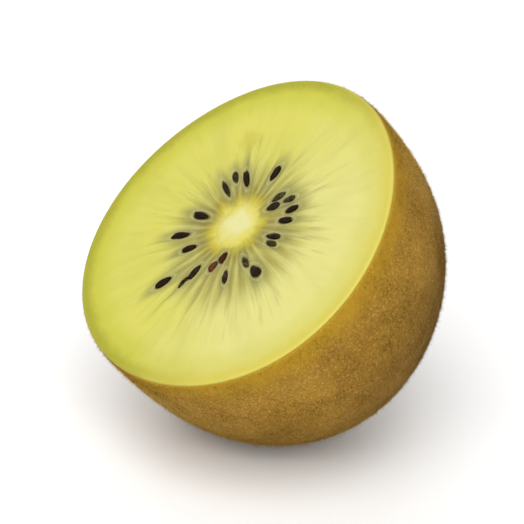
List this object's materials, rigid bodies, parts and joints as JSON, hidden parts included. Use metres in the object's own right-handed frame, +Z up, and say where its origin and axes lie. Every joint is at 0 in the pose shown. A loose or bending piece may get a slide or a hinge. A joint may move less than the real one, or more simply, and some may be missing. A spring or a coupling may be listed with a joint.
{
  "type": "golden kiwi fruit half",
  "caption": "Half of a ripe golden kiwi fruit, cut across its middle and lying on its side, with yellow flesh, a pale core, dark seeds and thin brown skin.",
  "frame": {"origin": "on the resting surface, under the middle of the half's outline seen from above", "axes": "+Z up from the surface it rests on; the cut face looks up and towards -Y, leaning back 41 degrees from level; X runs across the cut face, level"},
  "size_m": [0.0558, 0.0522, 0.0515],
  "materials": {
    "skin": "matte",
    "flesh": "satin",
    "core": "satin",
    "seed": "gloss"
  },
  "bodies": {
    "root": {"skin": "skin", "flesh": "flesh", "core": "core"}
  },
  "joints": []
}
